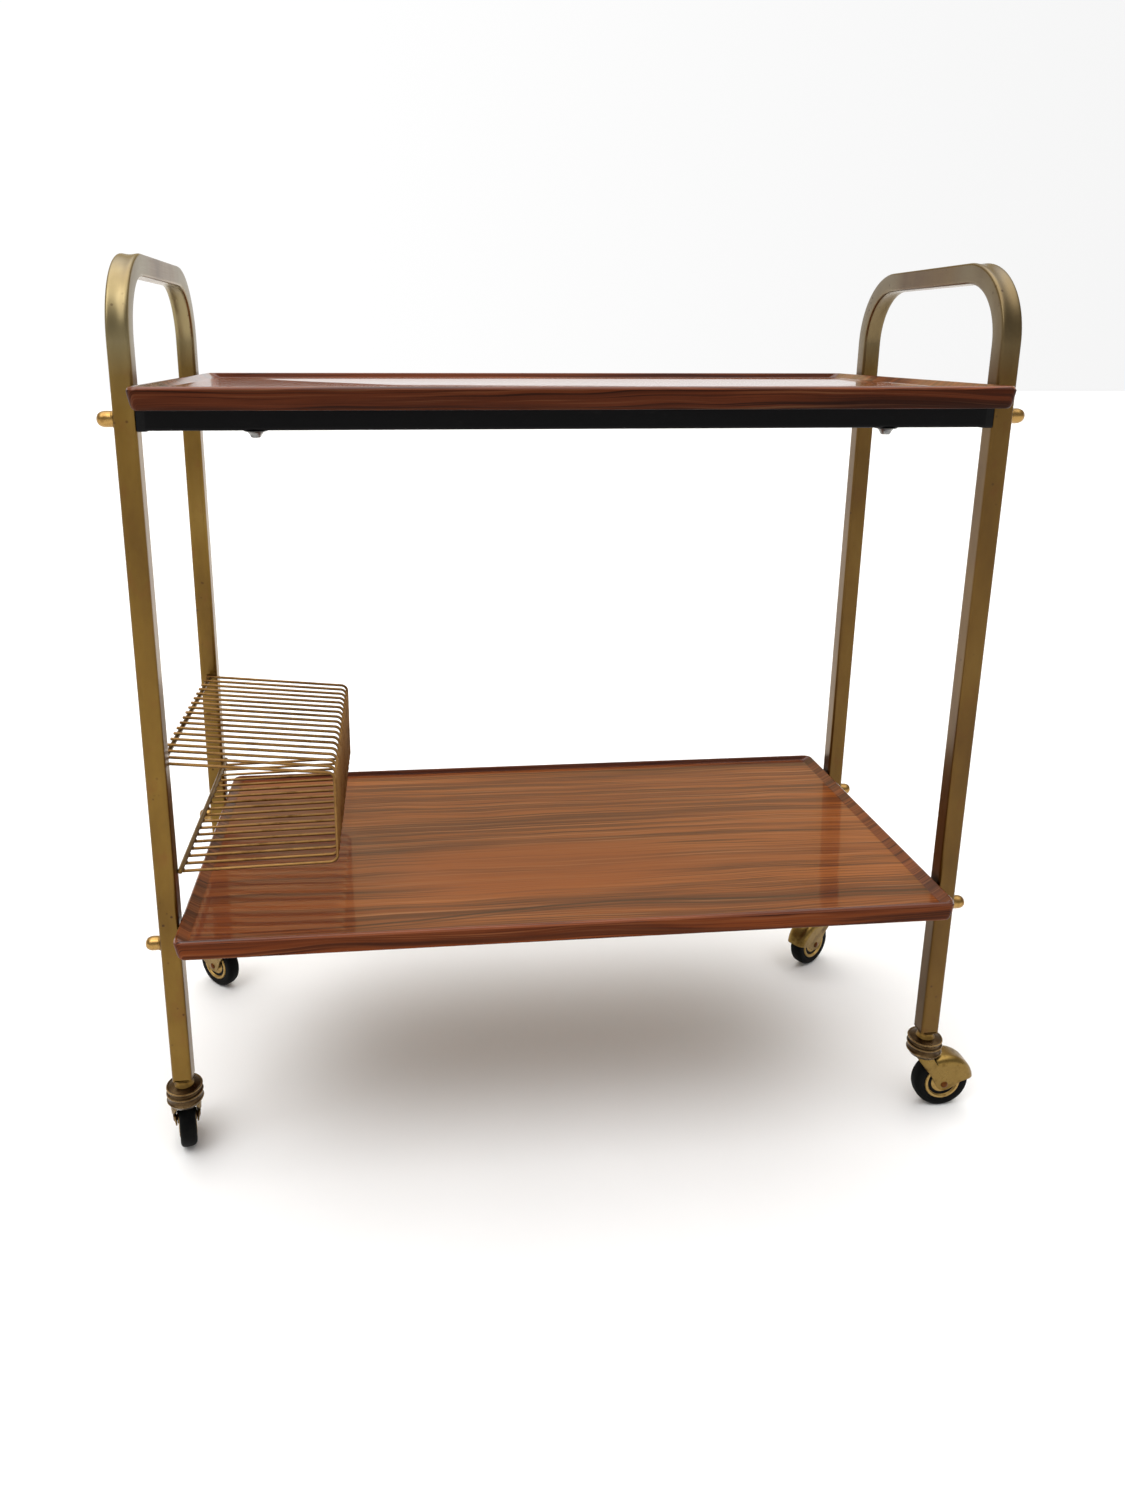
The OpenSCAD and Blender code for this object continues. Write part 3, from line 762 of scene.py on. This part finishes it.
def cheek_width(x, z):
    """Half-width of the fork at a place in side view: flat plates that turn into a round neck."""
    plate = max(9.9 * MM + (z - 25 * MM) * 0.085, 9.7 * MM)
    round_neck = math.sqrt(max((12.6 * MM) ** 2 - x * x, (6 * MM) ** 2))
    high = smooth((z - 40 * MM) / (14 * MM))
    near = min(max((9 * MM - x) / (12 * MM), 0), 1)
    return plate * (1 - high * near) + round_neck * high * near


def fork_outline(angle):
    """Distance from the axle to the open edge of the side plate, at an angle about the axle."""
    axle_at = (18.0, 25.0)
    edge = [(46.2, 30.9), (43.8, 31.2), (33.0, 26.9), (24.5, 20.6), (21.5, 19.2), (18.0, 18.5),
            (14.2, 19.6), (11.4, 22.2), (7.4, 30.0), (2.4, 38.5), (-5.5, 46.8), (-10.2, 52.0),
            (-10.6, 56.5), (8.0, 56.5)]
    d = Vector((math.cos(angle), math.sin(angle)))
    best = None
    for (ax, az), (bx, bz) in zip(edge, edge[1:]):
        a = Vector(((ax - axle_at[0]) * MM, (az - axle_at[1]) * MM))
        b = Vector(((bx - axle_at[0]) * MM, (bz - axle_at[1]) * MM))
        e = b - a
        cross = d.x * e.y - d.y * e.x
        if abs(cross) < 1e-12:
            continue
        t = (a.x * e.y - a.y * e.x) / cross
        s = (a.x * d.y - a.y * d.x) / cross
        if t > 0 and -1e-6 <= s <= 1 + 1e-6 and (best is None or t < best):
            best = t
    return best


def fork_shell(trail, axle_z):
    """The hood and both side plates as one thin sheet, in the castor's local frame."""
    hood_r = axle_z + 3.4 * MM
    shoulder = 6.0 * MM
    flat_r = hood_r - shoulder
    start_r = 0.12 * flat_r
    first, last = math.radians(12), math.radians(112)
    hood_steps, plate_steps, radial, bend = 34, 60, 10, 9
    angles = [first + (last - first) * k / hood_steps for k in range(hood_steps + 1)]

    def plate_point(angle, r, side):
        x = trail + r * math.cos(angle)
        z = axle_z + r * math.sin(angle)
        return Vector((x, side * cheek_width(x, z), z))

    rows = []
    for a in angles:
        row = []
        for side in (-1, 1):
            half = []
            for k in range(radial + 1):
                half.append(plate_point(a, start_r + (flat_r - start_r) * k / radial, side))
            w = abs(half[-1].y)
            for k in range(1, bend + 1):
                t = k / bend * math.pi / 2
                r = flat_r + shoulder * math.sin(t)
                y = w - shoulder * (1 - math.cos(t))
                half.append(Vector((trail + r * math.cos(a), side * y, axle_z + r * math.sin(a))))
            row.append(half)
        inner = row[1][-1].y
        across = [Vector((trail + hood_r * math.cos(a), inner * f, axle_z + hood_r * math.sin(a)))
                  for f in (-0.5, 0, 0.5)]
        rows.append(row[0] + across + list(reversed(row[1])))
    cols = len(rows[0])
    verts = [p for row in rows for p in row]
    faces = grid_faces(len(rows), cols, wrap_cols=False)
    # the rest of each side plate, from the last hood angle round to the lip
    turn = [last + (TAU + first - last) * k / plate_steps for k in range(plate_steps + 1)]
    for side in (-1, 1):
        base = len(verts)
        for a in turn:
            reach = flat_r if a in (turn[0], turn[-1]) else fork_outline(a)
            for k in range(radial + 1):
                verts.append(plate_point(a, start_r + (reach - start_r) * k / radial, side))
        faces += grid_faces(len(turn), radial + 1, base, wrap_cols=False)
        # the middle of the plate, under the rivet's head
        ring = [i * cols + (0 if side < 0 else cols - 1) for i in range(len(rows))]
        ring += [base + i * (radial + 1) for i in range(len(turn))]
        faces.append(ring)
    return verts, faces


def build_fork(corner):
    """Hooded fork with its swivel cup, riding on the swivelling body."""
    matrix, trail, axle_z = castor(corner)
    sheet = mesh_object("hood_" + corner, *moved(fork_shell(trail, axle_z), matrix), BRASS_SHEET,
                        "fork_" + corner, ["fork_" + corner], "bright_brass", sharp=40)
    bm = bmesh.new()
    bm.from_mesh(sheet.data)
    bmesh.ops.remove_doubles(bm, verts=bm.verts, dist=0.03 * MM)
    bmesh.ops.recalc_face_normals(bm, faces=bm.faces)
    bm.to_mesh(sheet.data)
    bm.free()
    thick = sheet.modifiers.new("sheet", "SOLIDIFY")
    thick.thickness = 1.3 * MM
    thick.offset = -1
    edge = sheet.modifiers.new("edge", "BEVEL")
    edge.width = 0.3 * MM
    edge.segments = 2
    edge.limit_method = "ANGLE"
    edge.angle_limit = math.radians(50)
    profile = scaled([(4.2, 53.0), (11.4, 53.0), (12.6, 53.8), (13.6, 55.2), (14.3, 56.4), (14.9, 57.0),
                      (15.1, 57.5), (14.8, 58.1), (14.2, 58.6), (13.9, 60.0), (13.9, 61.6), (14.3, 62.5),
                      (14.9, 63.1), (15.1, 63.8), (14.8, 64.5), (14.1, 64.8), (13.5, 65.1), (13.3, 66.0),
                      (13.3, 67.1), (4.2, 67.1)])
    ring = mesh_object("swivel_ring_" + corner, *moved(lathe(profile), matrix), BRONZE,
                       "fork_" + corner, (), "bright_brass")
    painted_highlight_rings(ring, [(56.9, 58.1), (63.1, 64.6)], 14.0 * MM, matrix.translation.xy)


def build_axle(corner):
    """Rivet heads on both side plates."""
    matrix, trail, axle_z = castor(corner)
    face = cheek_width(trail, axle_z) / MM
    head = [(0.1, face + 1.5), (1.4, face + 1.4), (2.5, face + 1.0), (3.1, face + 0.45), (3.25, face),
            (3.25, face - 0.5), (2.5, face - 0.5)]
    profile = scaled(head + [(r, -h) for r, h in reversed(head)])
    place = matrix @ Matrix.Translation((trail, 0, axle_z))
    mesh_object("axle_rivet_" + corner, *moved(lathe(profile, 32, "y"), place), RIVET,
                "fork_" + corner, ["axle_" + corner], "bright_brass")


def build_wheel(corner):
    """Dished hub and tyre."""
    matrix, trail, axle_z = castor(corner)
    place = matrix @ Matrix.Translation((trail, 0, axle_z))
    side = [(2.6, 8.2), (4.6, 8.2), (5.1, 7.8), (5.6, 6.5), (7.4, 6.0), (11.0, 5.6), (12.8, 5.5),
            (13.4, 6.0), (13.9, 7.0), (14.6, 7.35), (15.4, 7.3), (16.0, 6.9), (16.3, 6.1), (17.3, 5.2)]
    profile = scaled(side + [(r, -h) for r, h in reversed(side)])
    mesh_object("hub_dish_" + corner, *moved(lathe(profile, 64, "y"), place), BRASS_HUB,
                "wheel_" + corner, ["hub_" + corner], "bright_brass")
    r = axle_z / MM
    half = [(16.2, 5.7), (16.6, 6.4), (18.0, 6.75), (20.4, 6.9), (21.8, 6.75), (22.9, 6.35), (23.8, 5.6),
            (r - 0.55, 4.5), (r - 0.2, 3.2), (r - 0.05, 1.7), (r, 0.35)]
    profile = scaled(half + [(q, -h) for q, h in reversed(half)])
    mesh_object("tyre_ring_" + corner, *moved(lathe(profile, 96, "y"), place), TYRE,
                "wheel_" + corner, ["tyre_" + corner], "rubber")


# ---------------------------------------------------------------- fastenings
def separate_boxes(node):
    """Low and high corners of each loose solid in a CAD node."""
    mesh = frame["nodes"][node].data
    parent = list(range(len(mesh.vertices)))

    def root(i):
        while parent[i] != i:
            parent[i] = parent[parent[i]]
            i = parent[i]
        return i

    keys = {}
    for v in mesh.vertices:
        key = tuple(round(c, 6) for c in v.co)
        parent[root(v.index)] = root(keys.setdefault(key, v.index))
    for e in mesh.edges:
        parent[root(e.vertices[0])] = root(e.vertices[1])
    groups = {}
    for v in mesh.vertices:
        groups.setdefault(root(v.index), []).append(v.co)
    out = []
    for points in groups.values():
        low = Vector([min(p[i] for p in points) for i in range(3)])
        high = Vector([max(p[i] for p in points) for i in range(3)])
        out.append((low, high))
    return out


def build_nuts():
    """Domed cap nuts on the outside of the legs."""
    profile = scaled([(5.2, 0.0), (5.95, 0.15), (6.15, 0.6), (6.2, 1.2), (5.9, 1.6), (5.75, 2.1),
                      (5.8, 6.2), (5.7, 7.6), (5.3, 9.2), (4.6, 10.6), (3.6, 11.6), (2.3, 12.2),
                      (1.0, 12.45), (0.1, 12.5)])
    parts = []
    for low, high in separate_boxes("acorn_nuts"):
        m = (low + high) / 2
        out = 1 if m.x > CENTRE_X else -1
        start = low.x if out > 0 else high.x
        place = Matrix.Translation((start, m.y, m.z)) @ Matrix.Diagonal((out, 1, 1, 1))
        parts.append(moved(lathe(profile, 40, "x"), place))
    mesh_object("domed_nuts", *joined(parts), BRASS_NUT, "frame", ["acorn_nuts"], "bright_brass")


def build_bolts():
    """Bolt heads and dished washers under the rails."""
    dish = scaled([(2.7, 1.2), (7.4, 1.2), (8.2, 1.05), (8.5, 0.75), (8.3, 0.4), (7.0, 0.1), (5.0, 0.0),
                   (2.7, 0.0)])
    head = scaled([(0.1, 0.3), (1.6, 0.3), (1.9, 0.0), (2.9, 0.0), (3.4, 0.3), (3.8, 1.1), (4.5, 2.4),
                   (5.3, 3.5), (5.8, 4.0), (5.7, 4.2), (2.6, 4.2)])
    mesh_object("bolt_heads", *under_each("tray_bolts", head), BOLT_STEEL, "frame", ["tray_bolts"],
                "bright_steel", sharp=25)
    mesh_object("dished_washers", *under_each("tray_washers", dish), WASHER_STEEL, "frame",
                ["tray_washers"], "bright_steel")


def under_each(node, profile):
    """A turned profile at the foot of each loose solid in a CAD node."""
    parts = []
    for low, high in separate_boxes(node):
        m = (low + high) / 2
        parts.append(moved(lathe(profile, 40), Matrix.Translation((m.x, m.y, low.z))))
    return joined(parts)


def dress_cad():
    """Materials of the CAD nodes that stay as they are."""
    materials = {"rail_end_plugs": PLUG_BLACK, "rail_studs": STEEL, "tray_inserts": STEEL,
                 "bearing_balls": STEEL}
    for level in ("top", "bottom"):
        for side in ("front", "back"):
            materials[f"rail_{level}_{side}"] = BLACK
    for corner in CORNERS:
        materials["stem_" + corner] = STEEL
    for node, material in materials.items():
        mesh = frame["nodes"][node].data
        mesh.materials.clear()
        mesh.materials.append(material)


# ---------------------------------------------------------------- stage, light and camera
def pale_floor():
    """Almost white, with faint clouds."""
    n = Surface("pale_floor")
    cloud = n.noise(n.mapped(n.add("TexCoord").outputs["Object"], (3, 3, 3)))
    n.set(Base_Color=n.ramp(cloud, [(0.3, grey(0.88)), (0.7, grey(0.92))]), Roughness=0.7)
    return n.material


def build_stage():
    """A wide floor under the wheels."""
    mesh = bpy.data.meshes.new("studio_floor")
    size = 14
    corners = [(-size, -size, 0), (size, -size, 0), (size, size, 0), (-size, size, 0)]
    mesh.from_pydata(corners, [], [(0, 1, 2, 3)])
    floor = bpy.data.objects.new("studio_floor", mesh)
    bpy.context.scene.collection.objects.link(floor)
    floor.data.materials.append(pale_floor())


def area_light(name, place, target, size, power):
    """A square white lamp that faces a point; the size is in metres and the power in watts."""
    light = bpy.data.lights.new(name, "AREA")
    light.shape = "SQUARE"
    light.size = size
    light.energy = power
    obj = bpy.data.objects.new(name, light)
    obj.location = place
    obj.rotation_euler = (Vector(target) - Vector(place)).to_track_quat("-Z", "Y").to_euler()
    bpy.context.scene.collection.objects.link(obj)


def build_light():
    """A studio as a world, seen in the varnish and the brass, and one soft lamp.

    From the horizon up it is pale, then has a darker band, then a bright ceiling. The band is warm
    behind the cart (+Y). To the camera itself the backdrop is plain and pale.
    """
    world = bpy.data.worlds.new("studio")
    world.use_nodes = True
    n = Nodes(world.node_tree)
    pale = grey(0.43)
    warm = (0.26, 0.20, 0.10, 1)
    towards = n.add("SeparateXYZ", {"Vector": n.add("TexCoord").outputs["Generated"]})
    height = n.range(towards.outputs["Z"], -1, 1)
    back = n.ramp(height, [(0.0, pale), (0.640, pale), (0.672, warm), (0.77, warm),
                           (0.86, grey(0.55)), (0.95, grey(1.3))])
    front = n.ramp(height, [(0.0, grey(0.22)), (0.640, grey(0.22)), (0.675, grey(0.15)),
                            (0.77, grey(0.16)), (0.86, grey(0.40)), (0.95, grey(1.3))])
    room = n.mix(n.range(towards.outputs["Y"], -0.3, 0.4), front, back)
    seen = n.mix(n.add("LightPath").outputs["Is Camera Ray"], room, pale)
    background = n.tree.nodes["Background"]
    n.put(background.inputs["Color"], seen)
    n.put(background.inputs["Strength"], n.range(towards.outputs["X"], -0.4, 0.7, 2.45, 2.1))
    bpy.context.scene.world = world
    area_light("key", (-1.5, -1.2, 2.3), (0, 0, 0.4), 1.4, 14)


def build_camera():
    """Camera a little left of the middle, just above the upper tray and looking down."""
    camera = bpy.data.cameras.new("camera")
    camera.sensor_width = 36
    camera.lens = 25.626
    camera.shift_x = 0.03395
    camera.shift_y = -0.08494
    obj = bpy.data.objects.new("camera", camera)
    obj.location = (CENTRE_X - 0.1333, -0.912, 0.6719)
    obj.rotation_euler = [math.radians(a) for a in (75.2554, -0.205, -5.9273)]
    bpy.context.scene.collection.objects.link(obj)
    bpy.context.scene.camera = obj


# ---------------------------------------------------------------- making
for side in HOOPS:
    build_hoop(side)
for level in ("top", "bottom"):
    build_tray(level)
build_rack()
for corner in CORNERS:
    build_plug(corner)
    build_cap(corner)
    build_fork(corner)
    build_axle(corner)
    build_wheel(corner)
build_nuts()
build_bolts()
dress_cad()
build_stage()
build_light()
build_camera()
bpy.context.scene.view_settings.view_transform = "Standard"
